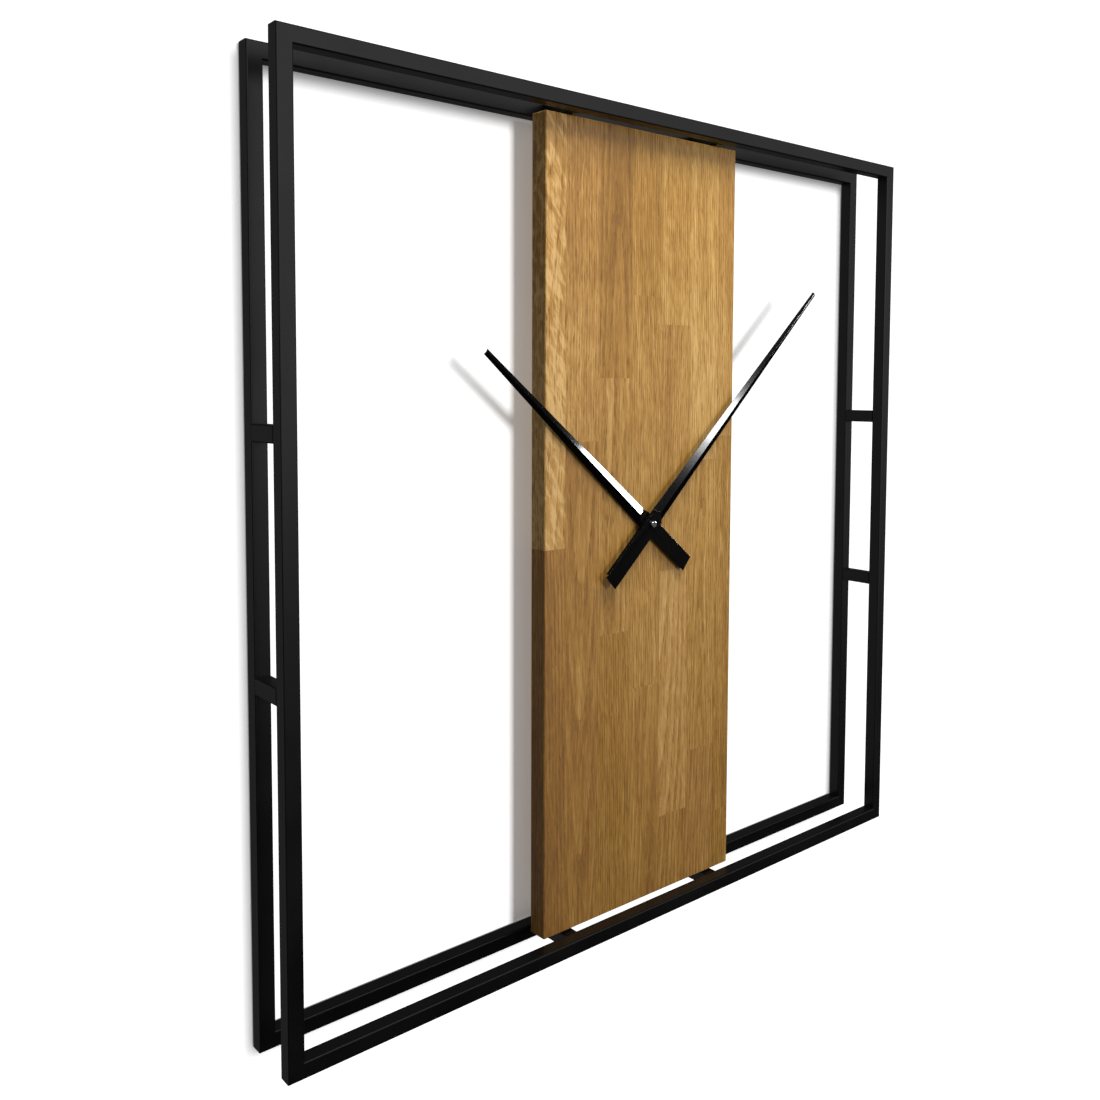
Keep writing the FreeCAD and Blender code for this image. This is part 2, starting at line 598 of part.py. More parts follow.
def going_train():
    """The wheels from the rotor down to the centre wheel."""
    wheel = gear(THIRD_AT, THIRD_TEETH, TRAIN_MODULE, 0, THIRD_LEVEL)
    pinion = gear(THIRD_AT, THIRD_PINION_TEETH, CENTRE_MODULE, PHASE_THIRD_PINION, THIRD_PINION_LEVEL)
    save("third_wheel", at_dial(joined([wheel, pinion] + arbor(THIRD_AT, FRONT_BEARING, REAR_BEARING))))

    wheel = gear(AXIS, SECONDS_TEETH, TRAIN_MODULE, 0, SECONDS_LEVEL)
    pinion = gear(AXIS, SECONDS_PINION_TEETH, TRAIN_MODULE, PHASE_SECONDS_PINION, SECONDS_PINION_LEVEL)
    shaft = disc(ARBOR, CAP_NUT_FLOOR + 0.4, deep(REAR_BEARING - PIVOT_LENGTH))
    pivot = rod(AXIS, PIVOT, SECONDS_LEVEL[1], REAR_BEARING)
    save("seconds_wheel", at_dial(joined([wheel, pinion, shaft, pivot])))

    wheel = gear(FIFTH_AT, FIFTH_TEETH, TRAIN_MODULE, 0, FIFTH_LEVEL)
    pinion = gear(FIFTH_AT, FIFTH_PINION_TEETH, TRAIN_MODULE, PHASE_FIFTH_PINION, FIFTH_PINION_LEVEL)
    save("fifth_wheel", at_dial(joined([wheel, pinion] + arbor(FIFTH_AT, PLATE_BEARING, REAR_BEARING))))

    pinion = gear(ROTOR_AT, ROTOR_TEETH, TRAIN_MODULE, PHASE_ROTOR, ROTOR_PINION_LEVEL)
    save("rotor_pinion", at_dial(joined([pinion] + arbor(ROTOR_AT, PLATE_BEARING, REAR_BEARING))))
    magnet = ring(ROTOR_AT, 3.0, ARBOR + SNUG, ROTOR_MAGNET_LEVEL[0], ROTOR_MAGNET_LEVEL[1])
    save("rotor_magnet", at_dial(magnet))


def setting_gear():
    """The knob at the back that turns the hands by hand."""
    pinion = gear(SETTING_AT, SETTING_TEETH, MOTION_MODULE, PHASE_SETTING, MINUTE_WHEEL_LEVEL)
    shaft = rod(SETTING_AT, SETTING_SHAFT, CASE_WALL + 0.2, KNOB_SOCKET_END)
    pivot = rod(SETTING_AT, ARBOR, FRONT_BEARING, MINUTE_WHEEL_LEVEL[0])
    save("setting_pinion", at_dial(joined([pinion, shaft, pivot])))
    knob = rod(SETTING_AT, KNOB_RADIUS, KNOB_LEVEL[0], KNOB_LEVEL[1])
    for i in range(KNOB_FLUTES):
        at = polar(SETTING_AT, KNOB_RADIUS + 0.3, 360.0 * i / KNOB_FLUTES)
        knob = knob.cut(rod(at, 0.7, KNOB_LEVEL[0] - 1, KNOB_LEVEL[1] + 1))
    socket = rod(SETTING_AT, SETTING_SHAFT + SNUG, KNOB_LEVEL[0] - 1, KNOB_SOCKET_END + SNUG)
    save("setting_knob", at_dial(knob.cut(socket)))


# ---------------------------------------------------------------- movement case and plate
def case_block(front, back, inset):
    """A square block of the case between two depths, drawn in by inset."""
    half = CASE_SIZE / 2 - inset
    block_face = Part.Face(rounded_square(half, max(CASE_CORNER - inset, 0.5)))
    solid = block_face.extrude(V(0, 0, back - front))
    solid.rotate(V(0, 0, 0), V(1, 0, 0), -90)
    solid.translate(V(0, deep(front), 0))
    return solid


def front_cover():
    cover = case_block(0, CASE_SPLIT, 0).cut(case_block(CASE_WALL, CASE_SPLIT + 1, CASE_WALL))
    sunk = CASE_WALL - 0.2
    posts = [rod(at, POST_RADIUS, sunk, PLATE_FRONT) for at in CASE_POSTS]
    posts.append(rod(MINUTE_WHEEL_AT, ARBOR, sunk, MINUTE_WHEEL_POST_END))
    cover = joined([cover] + posts)
    cover = cover.cut(rod(AXIS, BUSHING_OUTER + SNUG, -1, 2)).cut(rod(AXIS, FLANGE_RADIUS + SNUG, 0.5, 2))
    for at, radius in ((THIRD_AT, PIVOT), (SETTING_AT, ARBOR)):
        cover = cover.cut(rod(at, radius + RUNNING, FRONT_BEARING - 0.2, 2))
    save("movement_front_cover", at_dial(cover))


def rear_case():
    hollow = case_block(CASE_SPLIT - 1, CASE_DEPTH - CASE_WALL, CASE_WALL)
    case = case_block(CASE_SPLIT, CASE_DEPTH, 0).cut(hollow)
    inner = CASE_SIZE / 2 - CASE_WALL
    reach = inner - BAY_GAP
    skin_front = BAY_FLOOR - BAY_SKIN
    bay_wall = slab(-reach, reach, BAY_TOP, BAY_TOP + BAY_SKIN, skin_front, CASE_DEPTH - 0.5)
    bay_floor = slab(-reach, reach, -reach, BAY_TOP + BAY_SKIN, skin_front, BAY_FLOOR)
    rear_pivots = (AXIS, THIRD_AT, FIFTH_AT, ROTOR_AT)
    bosses = [rod(at, BOSS_RADIUS, BOSS_FRONT, CASE_DEPTH - 1) for at in rear_pivots]
    case = joined([case, bay_wall, bay_floor] + bosses)
    mouth = slab(-BAY_HALF, BAY_HALF, 0.1 - inner, BAY_TOP, CASE_DEPTH - CASE_WALL - 1, CASE_DEPTH + 1)
    case = case.cut(mouth)
    for at in rear_pivots:
        case = case.cut(rod(at, PIVOT + RUNNING, BOSS_FRONT - 1, REAR_BEARING + 0.2))
    case = case.cut(rod(SETTING_AT, SETTING_SHAFT + RUNNING, CASE_DEPTH - 3, CASE_DEPTH + 1))
    save("movement_rear_case", at_dial(case))


def middle_plate():
    half = CASE_SIZE / 2 - CASE_WALL - 0.3
    plate = slab(-half, half, PLATE_BOTTOM, PLATE_TOP, PLATE_FRONT, PLATE_BACK)
    holes = (
        (AXIS, CENTRE_SEAT + RUNNING),
        (FIFTH_AT, PIVOT + RUNNING),
        (ROTOR_AT, PIVOT + RUNNING),
        (SETTING_AT, SETTING_SHAFT + RUNNING),
        (THIRD_AT, 1.3),
    )
    for at, radius in holes:
        plate = plate.cut(rod(at, radius, PLATE_FRONT - 1, PLATE_BACK + 1))
    save("middle_plate", at_dial(plate))


# ---------------------------------------------------------------- motor and electronics
def stepper_motor():
    front, back = STATOR_LEVEL
    bar = slab(-STATOR_REACH, STATOR_REACH, STATOR_BOTTOM, PLATE_TOP, front, back)
    top = COIL_HEIGHT + CORE_HALF
    leg_end = STATOR_REACH - STATOR_LEG
    left = slab(-STATOR_REACH, -leg_end, PLATE_TOP - 1, top, front, back)
    right = slab(leg_end, STATOR_REACH, PLATE_TOP - 1, top, front, back)
    stator = joined([bar, left, right]).cut(rod(ROTOR_AT, ROTOR_HOLE, front - 1, back + 1))
    for side in (50.0, 230.0):
        notch = rod(polar(ROTOR_AT, ROTOR_HOLE, side), 0.4, front - 1, back + 1)
        stator = stator.cut(notch)
    save("stator", at_dial(stator))

    low, high = COIL_HEIGHT - CORE_HALF, COIL_HEIGHT + CORE_HALF
    save("coil_core", at_dial(slab(-STATOR_REACH, STATOR_REACH, low, high, CORE_LEVEL[0], CORE_LEVEL[1])))
    axis = (CORE_LEVEL[0] + CORE_LEVEL[1]) / 2
    core_half_depth = (CORE_LEVEL[1] - CORE_LEVEL[0]) / 2

    def around_core(x0, x1, half_height, half_depth):
        bottom, top = COIL_HEIGHT - half_height, COIL_HEIGHT + half_height
        return slab(x0, x1, bottom, top, axis - half_depth, axis + half_depth)

    bobbin_half_height = CORE_HALF + 0.65
    bobbin_half_depth = core_half_depth + 0.6
    flange = 1.0
    bobbin = [
        around_core(-COIL_HALF, COIL_HALF, bobbin_half_height, bobbin_half_depth),
        around_core(-COIL_HALF, flange - COIL_HALF, 4.4, 4.0),
        around_core(COIL_HALF - flange, COIL_HALF, 4.4, 4.0),
    ]
    hole = around_core(-COIL_HALF - 1, COIL_HALF + 1, CORE_HALF + SNUG, core_half_depth + SNUG)
    save("coil_bobbin", at_dial(joined(bobbin).cut(hole)))
    winding = around_core(flange - COIL_HALF, COIL_HALF - flange, 3.9, 3.5)
    winding = winding.makeFillet(1.2, [e for e in winding.Edges if e.BoundBox.XLength > COIL_HALF])
    space = around_core(-COIL_HALF, COIL_HALF, bobbin_half_height + SNUG, bobbin_half_depth + SNUG)
    save("coil_winding", at_dial(winding.cut(space)))


def electronics():
    front, back = BOARD_LEVEL
    board = slab(BOARD_SIDES[0], BOARD_SIDES[1], BOARD_ENDS[0], BOARD_ENDS[1], front, back)
    save("circuit_board", at_dial(board))
    chip = rod(CHIP_AT, CHIP_RADIUS, back, back + CHIP_HEIGHT)
    rim = [e for e in chip.Edges if abs(e.BoundBox.YMin - deep(back + CHIP_HEIGHT)) < 0.01]
    save("timing_chip", at_dial(chip.makeFillet(0.5, rim)))
    start = V(18.0, deep(front - CRYSTAL_RADIUS), -7.0)
    save("quartz_crystal", at_dial(Part.makeCylinder(CRYSTAL_RADIUS, CRYSTAL_LENGTH, start, V(0, 0, 1))))


def positive_contact(outer):
    """A flat tab against the case's side, with a round dimple towards the cell's nub."""
    front, back = CONTACT_LEVEL
    tab = slab(outer - CONTACT_SHEET, outer, CONTACT_BOTTOM, BAY_TOP - 0.1, front, back)
    dimple_start = BATTERY_NUB_END + 0.2
    start = V(dimple_start, deep(BATTERY_DEPTH), BATTERY_HEIGHT)
    dimple = Part.makeCylinder(1.5, outer - 0.1 - dimple_start, start, V(1, 0, 0))
    save("positive_contact", at_dial(joined([tab, dimple])))


def negative_contact(outer):
    """A flat tab against the case's other side, with a bowed leaf that presses on the cell's flat end."""
    front, back = CONTACT_LEVEL
    tab = slab(-outer, CONTACT_SHEET - outer, CONTACT_BOTTOM, BAY_TOP - 0.1, front, back)
    low, high = LEAF_ENDS
    middle = (low + high) / 2
    x0 = CONTACT_SHEET - outer
    crown = BATTERY_LEFT - 0.1
    bow = Part.Arc(V(x0, 0, low), V(crown, 0, middle), V(x0, 0, high)).toShape()
    top_foot = Part.makeLine(V(x0, 0, high), V(x0, 0, high - 2 * CONTACT_SHEET))
    under = Part.Arc(
        V(x0, 0, high - 2 * CONTACT_SHEET),
        V(crown - CONTACT_SHEET, 0, middle),
        V(x0, 0, low + 2 * CONTACT_SHEET),
    ).toShape()
    bottom_foot = Part.makeLine(V(x0, 0, low + 2 * CONTACT_SHEET), V(x0, 0, low))
    leaf = Part.Face(Part.Wire([bow, top_foot, under, bottom_foot])).extrude(V(0, LEAF_WIDTH, 0))
    leaf.translate(V(0, deep(BATTERY_DEPTH) - LEAF_WIDTH / 2, 0))
    save("negative_contact", at_dial(joined([tab, leaf])))


def battery_contacts():
    outer = CASE_SIZE / 2 - CASE_WALL - 0.1
    positive_contact(outer)
    negative_contact(outer)


def battery():
    length = BATTERY_RIGHT - BATTERY_LEFT
    start = V(BATTERY_LEFT, deep(BATTERY_DEPTH), BATTERY_HEIGHT)
    can = Part.makeCylinder(BATTERY_RADIUS, length, start, V(1, 0, 0))
    can = can.makeFillet(0.5, [e for e in can.Edges if e.BoundBox.XLength < 0.01])
    save("battery", at_dial(can))
    start = V(BATTERY_RIGHT, deep(BATTERY_DEPTH), BATTERY_HEIGHT)
    nub = Part.makeCylinder(BATTERY_NUB_RADIUS, BATTERY_NUB_END - BATTERY_RIGHT, start, V(1, 0, 0))
    save("battery_terminal", at_dial(nub))


frames()
spacers()
oak_panel()
panel_fixings()
hands()
minute_hand_nut()
movement_fixings()
motion_work()
minute_arbor()
going_train()
setting_gear()
front_cover()
rear_case()
middle_plate()
stepper_motor()
electronics()
battery_contacts()
battery()
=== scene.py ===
"""Looks of the square skeleton wall clock: oiled oak staves, satin black tube, lacquered folded hands.

Everything is in metres in the clock's own frame: +Z up, -Y is the front and the wall is the plane y = 0.
"""
import json
import math

import bmesh
import bpy
from mathutils import Matrix, Vector
from mathutils.geometry import tessellate_polygon

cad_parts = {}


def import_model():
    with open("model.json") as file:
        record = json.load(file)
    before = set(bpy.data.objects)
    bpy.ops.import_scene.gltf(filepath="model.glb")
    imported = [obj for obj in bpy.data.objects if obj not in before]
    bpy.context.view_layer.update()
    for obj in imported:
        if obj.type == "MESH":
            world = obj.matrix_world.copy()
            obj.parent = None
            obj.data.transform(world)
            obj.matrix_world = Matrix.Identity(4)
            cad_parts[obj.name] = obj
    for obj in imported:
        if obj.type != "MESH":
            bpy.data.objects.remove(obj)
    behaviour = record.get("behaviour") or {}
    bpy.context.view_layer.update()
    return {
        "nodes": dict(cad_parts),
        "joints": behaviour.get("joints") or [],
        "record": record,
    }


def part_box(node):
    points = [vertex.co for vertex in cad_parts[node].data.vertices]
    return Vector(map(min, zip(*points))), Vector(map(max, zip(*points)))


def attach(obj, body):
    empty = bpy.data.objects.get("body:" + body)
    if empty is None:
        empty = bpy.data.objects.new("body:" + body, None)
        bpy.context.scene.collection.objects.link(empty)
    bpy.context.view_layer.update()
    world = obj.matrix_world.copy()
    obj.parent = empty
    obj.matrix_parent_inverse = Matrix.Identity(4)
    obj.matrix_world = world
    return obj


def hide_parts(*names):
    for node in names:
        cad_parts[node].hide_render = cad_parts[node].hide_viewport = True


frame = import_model()
MM = 0.001
DIAL = Vector(next(j for j in frame["joints"] if j["name"] == "minute_hand_turn")["pos_m"])
PANEL_LOW, PANEL_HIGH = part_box("oak_panel")

# ---- camera ----
CAMERA_AT = (-0.7469, -0.7850, -0.2548)
CAMERA_TURN = math.radians(39.54)  # to the right of straight at the wall
CAMERA_TILT = math.radians(-3.49)
CAMERA_ROLL = math.radians(-0.14)
CAMERA_LENS = 34.47
CAMERA_SHIFT = (0.0095, -0.0923)

# ---- hands ----
SHEET = 0.8 * MM
HAND_HALF_WIDTH = 8.6 * MM
FLANGE_DEPTH = 3.0 * MM
FLANGE_CUT_BACK = 4.0 * MM
FOLD_SLOPE = 0.35
FOLD_APEX = 16.0 * MM
FOLD_EDGE = 9.0 * MM
FOLD_FOOT = 11.5 * MM
HOLE_SIDES = 32
# Each hand, pointing to about eight minutes past ten: its length and its tail from the shaft, its half
# width at the tip, the radius of its hole, and its angle clockwise from twelve.
HANDS = {
    "minute_hand": (353 * MM, 77 * MM, 2.7 * MM, 1.32 * MM, math.radians(46.9)),
    "hour_hand": (261 * MM, 72 * MM, 3.1 * MM, 2.57 * MM, math.radians(309.6)),
}

# ---- light ----
KEY_FROM_DIAL = Vector((0.26, -1.78, 0.30))
KEY_SIZE, KEY_POWER = (0.36, 0.36), 15
CEILING_AT = (0.25, -0.55, 0.88)
CEILING_SIZE, CEILING_POWER = (1.2, 0.7), 38
BEHIND_AT = (1.4, 1.8, -0.2)
BEHIND_SIZE, BEHIND_POWER = (1.8, 1.8), 24
DAYLIGHT_HEADING = (-0.05, 1.0, -0.12)
DAYLIGHT_STRENGTH = 2.6
DAYLIGHT_SPREAD = math.radians(14)
WALL_GLOW = 0.16
FLOOR_GLOW = 0.3
WORLD_LIGHT = 0.26
WORLD_SEEN = 0.85
# Strips of light seen in the hands: start, end, width, and the radiance of each equal step.
WINDOWS = {
    "side_window": ((1.46, -0.61, -0.30), (1.38, -0.61, 0.06), 0.3, [330] * 7 + [200]),
    "front_window": ((0.72, -1.73, 0.23), (0.99, -1.61, 0.475), 0.3, [5, 22, 110, 350, 350, 330, 40, 8]),
    "top_window": ((-0.55, -0.95, 0.55), (0.15, -1.05, 0.62), 0.22, [120, 120, 120, 40, 120, 120]),
}

# ---- oak staves ----
STAVE_WIDTH = 42.2 * MM
FIRST_JOINT = -105.5 * MM  # the first glue line, left of the dial
RING_WIDTH = 2.6 * MM
RAY_LEAN = math.radians(28)
# Each column from the left: its staves from the bottom up, as (top end z, tone, ray fleck).
# Tone runs from 0, dark brown, to 1, pale gold.
# The lower staves' tones are darker partly for their own colour and partly as painted shade, for the
# light falling off towards the bottom of the board.
COLUMNS = (
    ((-0.41, 0.28, 0.10), (0.0, 0.86, 1.00)),
    ((-0.31, 0.47, 0.00), (0.0, 0.68, 0.25)),
    ((-0.50, 0.60, 0.00), (-0.25, 0.66, 0.10), (0.0, 0.52, 0.10)),
    ((-0.56, 0.62, 0.00), (-0.17, 0.70, 0.05), (0.0, 0.74, 0.05)),
    ((-0.70, 0.64, 0.00), (-0.445, 0.88, 0.15), (-0.195, 0.64, 0.05), (0.0, 0.86, 0.20)),
    ((-0.64, 0.70, 0.00), (-0.335, 0.76, 0.00), (0.0, 1.00, 0.10)),
    ((-0.715, 0.60, 0.00), (-0.31, 0.63, 0.05), (0.0, 0.84, 0.00)),
)


# ---------------------------------------------------------------- shader building
class Shader:
    """One material's nodes. An argument may be a number, a vector or another node's output."""

    def __init__(self, name):
        self.material = bpy.data.materials.new(name)
        self.material.use_nodes = True
        self.tree = self.material.node_tree
        self.surface = next(n for n in self.tree.nodes if n.type == "BSDF_PRINCIPLED")
        self.output = next(n for n in self.tree.nodes if n.type == "OUTPUT_MATERIAL")
        self.place = self.add("ShaderNodeTexCoord").outputs["Object"]

    def add(self, kind, **settings):
        node = self.tree.nodes.new(kind)
        for key, value in settings.items():
            setattr(node, key, value)
        return node

    def feed(self, socket, value):
        if isinstance(value, bpy.types.NodeSocket):
            self.tree.links.new(value, socket)
        else:
            socket.default_value = value

    def math(self, operation, a, b=0.0, clamp=False):
        node = self.add("ShaderNodeMath", operation=operation, use_clamp=clamp)
        self.feed(node.inputs[0], a)
        self.feed(node.inputs[1], b)
        return node.outputs[0]

    def vector(self, operation, a, b=(0, 0, 0)):
        node = self.add("ShaderNodeVectorMath", operation=operation)
        self.feed(node.inputs[0], a)
        self.feed(node.inputs[1], b)
        return node.outputs["Value" if operation == "LENGTH" else "Vector"]

    def split(self, vector):
        node = self.add("ShaderNodeSeparateXYZ")
        self.feed(node.inputs[0], vector)
        return node.outputs

    def join(self, x, y, z):
        node = self.add("ShaderNodeCombineXYZ")
        for socket, value in zip(node.inputs, (x, y, z)):
            self.feed(socket, value)
        return node.outputs[0]

    def noise(self, vector, scale=1.0, detail=3.0, roughness=0.5):
        node = self.add("ShaderNodeTexNoise")
        self.feed(node.inputs["Vector"], vector)
        node.inputs["Scale"].default_value = scale
        node.inputs["Detail"].default_value = detail
        node.inputs["Roughness"].default_value = roughness
        return node.outputs["Fac"]

    def range(self, value, low, high, to_low=0.0, to_high=1.0):
        node = self.add("ShaderNodeMapRange", interpolation_type="SMOOTHSTEP")
        for socket, v in zip(node.inputs, (value, low, high, to_low, to_high)):
            self.feed(socket, v)
        return node.outputs["Result"]

    def mix(self, factor, a, b):
        node = self.add("ShaderNodeMix", data_type="RGBA")
        self.feed(node.inputs["Factor"], factor)
        self.feed(node.inputs["A"], a)
        self.feed(node.inputs["B"], b)
        return node.outputs["Result"]

    def steps(self, factor, stops, interpolation="CONSTANT"):
        """A colour ramp from (position, colour) stops."""
        node = self.add("ShaderNodeValToRGB")
        ramp = node.color_ramp
        ramp.interpolation = interpolation
        while len(ramp.elements) < len(stops):
            ramp.elements.new(1.0)
        for element, (position, colour) in zip(ramp.elements, stops):
            element.position = position
            element.color = colour
        self.feed(node.inputs[0], factor)
        return node.outputs["Color"]

    def bump(self, height, distance, strength=1.0):
        node = self.add("ShaderNodeBump")
        node.inputs["Strength"].default_value = strength
        node.inputs["Distance"].default_value = distance
        self.feed(node.inputs["Height"], height)
        self.feed(self.surface.inputs["Normal"], node.outputs[0])

    def set(self, **values):
        for key, value in values.items():
            self.feed(self.surface.inputs[key.replace("_", " ")], value)


def rgb(red, green, blue):
    return (red, green, blue, 1.0)


# ---------------------------------------------------------------- materials
def oak():
    s = Shader("oiled_oak")
    x, y, z = s.split(s.place)
    across = s.math("DIVIDE", s.math("SUBTRACT", x, FIRST_JOINT), STAVE_WIDTH)
    column = s.math("FLOOR", across)
    low, high = PANEL_LOW.z, PANEL_HIGH.z
    up = s.math("DIVIDE", s.math("SUBTRACT", z, low), high - low)

    stave = None  # red is tone, green is ray fleck, blue is the stave's own number
    line = None  # 1 along the butt joints
    for index, staves in enumerate(COLUMNS):
        stops, lines = [], [(0.0, rgb(0, 0, 0))]
        start = 0.0
        for number, (top, tone, fleck) in enumerate(staves):
            stops.append((start, rgb(tone, fleck, (index * 4 + number + 1) / 32)))
            start = min((top - low) / (high - low), 1.0)
            if start < 1.0:
                half = 0.25 * MM / (high - low)
                drop = ((start - half, 0), (start, 1), (start + half, 0))
                lines += [(place, rgb(level, level, level)) for place, level in drop]
        here = s.math("COMPARE", column, float(index - 1))
        s.tree.nodes[-1].inputs[2].default_value = 0.5
        chosen, drawn = s.steps(up, stops), s.steps(up, lines, "LINEAR")
        stave = s.mix(here, stave or rgb(0.5, 0, 0), chosen)
        line = s.mix(here, line or rgb(0, 0, 0), drawn)
    tone, fleck, number = s.split(stave)
    side = s.math("PINGPONG", across, 0.5)
    glue = s.range(side, 0.0, 0.2 * MM / STAVE_WIDTH, 1.0, 0.0)
    joint = s.math("MAXIMUM", glue, s.split(line)[0])

    seed = s.math("MULTIPLY", number, 57.0)
    random = s.add("ShaderNodeTexWhiteNoise", noise_dimensions="1D")
    s.feed(random.inputs["W"], seed)
    chance = s.split(random.outputs["Color"])
    apart = s.join(seed, s.math("MULTIPLY", seed, 1.7), s.math("MULTIPLY", seed, 2.3))
    own = s.vector("ADD", s.place, apart)

    sway = s.noise(s.vector("MULTIPLY", own, (9, 9, 2.2)), detail=2.0)
    sway = s.math("MULTIPLY", s.math("SUBTRACT", sway, 0.5), 0.022)
    middle = s.math("MULTIPLY", s.math("ADD", column, 0.5), STAVE_WIDTH)
    middle = s.math("ADD", middle, FIRST_JOINT)
    pith_x = s.math("ADD", middle, s.math("MULTIPLY", s.math("SUBTRACT", chance[0], 0.5), 0.16))
    pith_y = s.math("ADD", PANEL_HIGH.y, s.math("MULTIPLY", chance[1], 0.05))
    taper = s.math("MULTIPLY", z, s.math("MULTIPLY", s.math("SUBTRACT", chance[2], 0.5), 0.06))
    from_pith = s.join(
        s.math("ADD", s.math("SUBTRACT", x, pith_x), sway),
        s.math("ADD", s.math("SUBTRACT", y, pith_y), taper),
        0.0,
    )
    radius = s.vector("LENGTH", from_pith)
    rings = s.math("FRACT", s.math("DIVIDE", radius, RING_WIDTH))
    late = s.range(rings, 0.15, 0.95)

    waver = s.noise(s.vector("MULTIPLY", own, (14, 14, 11)), detail=2.0)
    waver = s.math("MULTIPLY", s.math("SUBTRACT", waver, 0.5), 0.010)
    lean = s.math("MULTIPLY", z, s.math("MULTIPLY", s.math("SUBTRACT", chance[0], 0.5), 0.09))
    grain = s.vector("ADD", own, s.join(s.math("ADD", waver, lean), 0.0, 0.0))
    broad = s.noise(s.vector("MULTIPLY", grain, (75, 75, 2.4)), detail=3.0)
    streak = s.noise(s.vector("MULTIPLY", grain, (300, 300, 13)), detail=3.0, roughness=0.6)
    fibre = s.noise(s.vector("MULTIPLY", grain, (620, 620, 42)), detail=4.0, roughness=0.75)
    pores = s.noise(s.vector("MULTIPLY", grain, (1000, 1000, 75)), detail=1.0)
    pores = s.range(pores, 0.54, 0.62)
    pores = s.math("MULTIPLY", pores, s.range(rings, 0.0, 0.6, 1.0, 0.3))

    leaning = s.add("ShaderNodeVectorRotate", rotation_type="Y_AXIS")
    s.feed(leaning.inputs["Vector"], own)
    leaning.inputs["Angle"].default_value = RAY_LEAN
    rays = s.noise(s.vector("MULTIPLY", leaning.outputs[0], (170, 170, 42)), detail=3.0, roughness=0.55)
    rays = s.math("MULTIPLY", s.range(rays, 0.44, 0.62), fleck)

    shade = s.math("ADD", s.math("MULTIPLY", tone, 0.62), 0.17)
    # Painted shade: the top of the board is darkened where it lies in shade under the top bars, and the
    # lower end is darkened for the light falling off towards the bottom.
    shade = s.math("SUBTRACT", shade, s.range(z, -0.24, -0.11, 0.0, 0.15))
    shade = s.math("SUBTRACT", shade, s.range(z, -0.72, -0.45, 0.09, 0.0))
    shade = s.math("ADD", shade, s.math("MULTIPLY", s.math("SUBTRACT", streak, 0.5), 0.55))
    shade = s.math("ADD", shade, s.math("MULTIPLY", s.math("SUBTRACT", broad, 0.5), 0.40))
    shade = s.math("ADD", shade, s.math("MULTIPLY", s.math("SUBTRACT", late, 0.5), 0.16))
    shade = s.math("ADD", shade, s.math("MULTIPLY", s.math("SUBTRACT", fibre, 0.5), 1.25))
    shade = s.math("ADD", shade, s.math("MULTIPLY", rays, 0.38), clamp=True)
    colour = s.steps(
        shade,
        (
            (0.0, rgb(0.100, 0.041, 0.004)),
            (0.35, rgb(0.195, 0.090, 0.010)),
            (0.65, rgb(0.312, 0.168, 0.034)),
            (1.0, rgb(0.475, 0.302, 0.108)),
        ),
        "LINEAR",
    )
    pink = s.math("MULTIPLY", chance[1], 0.25)
    colour = s.mix(pink, colour, s.mix(0.5, colour, rgb(0.42, 0.20, 0.10)))
    colour = s.mix(s.math("MULTIPLY", pores, 0.6), colour, rgb(0.080, 0.034, 0.010))
    sawn = s.range(s.math("ABSOLUTE", x), PANEL_HIGH.x - 0.9 * MM, PANEL_HIGH.x - 0.5 * MM)
    colour = s.mix(s.math("MULTIPLY", sawn, 0.1), colour, rgb(0.100, 0.048, 0.010))
    colour = s.mix(s.math("MULTIPLY", joint, 0.55), colour, rgb(0.06, 0.028, 0.01))
    s.set(Base_Color=colour, Roughness=s.math("ADD", 0.46, s.math("MULTIPLY", pores, 0.25)))
    s.set(Specular_IOR_Level=s.range(sawn, 0.0, 1.0, 0.75, 0.25))
    hollow = s.math("ADD", s.math("MULTIPLY", pores, 0.6), s.math("MULTIPLY", joint, 1.2))
    relief = s.math("SUBTRACT", s.math("MULTIPLY", streak, 0.5), hollow)
    s.bump(relief, 0.08 * MM, 0.35)
    return s.material


def powder_coat():
    """Satin black powder: a fine orange peel, and cloudy gloss where the film is thicker."""
    s = Shader("black_powder_coat")
    peel = s.noise(s.place, 900.0, 2.0)
    grit = s.noise(s.place, 4200.0, 1.0)
    cloud = s.noise(s.place, 14.0, 3.0)
    s.set(Base_Color=s.mix(cloud, rgb(0.0010, 0.0010, 0.0011), rgb(0.0022, 0.0022, 0.0024)))
    s.set(Roughness=s.range(cloud, 0.3, 0.7, 0.30, 0.38), Specular_IOR_Level=0.32)
    s.bump(s.math("ADD", peel, s.math("MULTIPLY", grit, 0.25)), 0.05 * MM, 0.5)
    return s.material


def lacquer():
    """Gloss black lacquer on sheet: nearly flat, with a slow waviness and a little fine dust."""
    s = Shader("gloss_black_lacquer")
    wave = s.noise(s.place, 26.0, 1.0)
    dust = s.range(s.noise(s.place, 2600.0, 2.0), 0.66, 0.74)
    s.set(Base_Color=s.mix(dust, rgb(0.0012, 0.0012, 0.0014), rgb(0.010, 0.010, 0.010)))
    s.set(Roughness=s.math("ADD", 0.07, s.math("MULTIPLY", dust, 0.2)), Specular_IOR_Level=0.04)
    s.bump(wave, 0.08 * MM, 0.5)
    return s.material


def metal(name, colour, roughness, grain=(900, 900, 40), depth=0.02 * MM):
    """Bare or plated metal with a directional grain and patches that are slightly duller."""
    s = Shader(name)
    lines = s.noise(s.vector("MULTIPLY", s.place, grain), detail=3.0)
    patches = s.noise(s.place, 120.0, 3.0)
    dull = tuple(0.72 * c for c in colour)
    s.set(Base_Color=s.mix(s.range(patches, 0.35, 0.75), rgb(*colour), rgb(*dull)))
    s.set(Metallic=1.0, Roughness=s.range(lines, 0.3, 0.7, roughness * 0.8, roughness * 1.35))
    s.bump(lines, depth, 0.4)
    return s.material


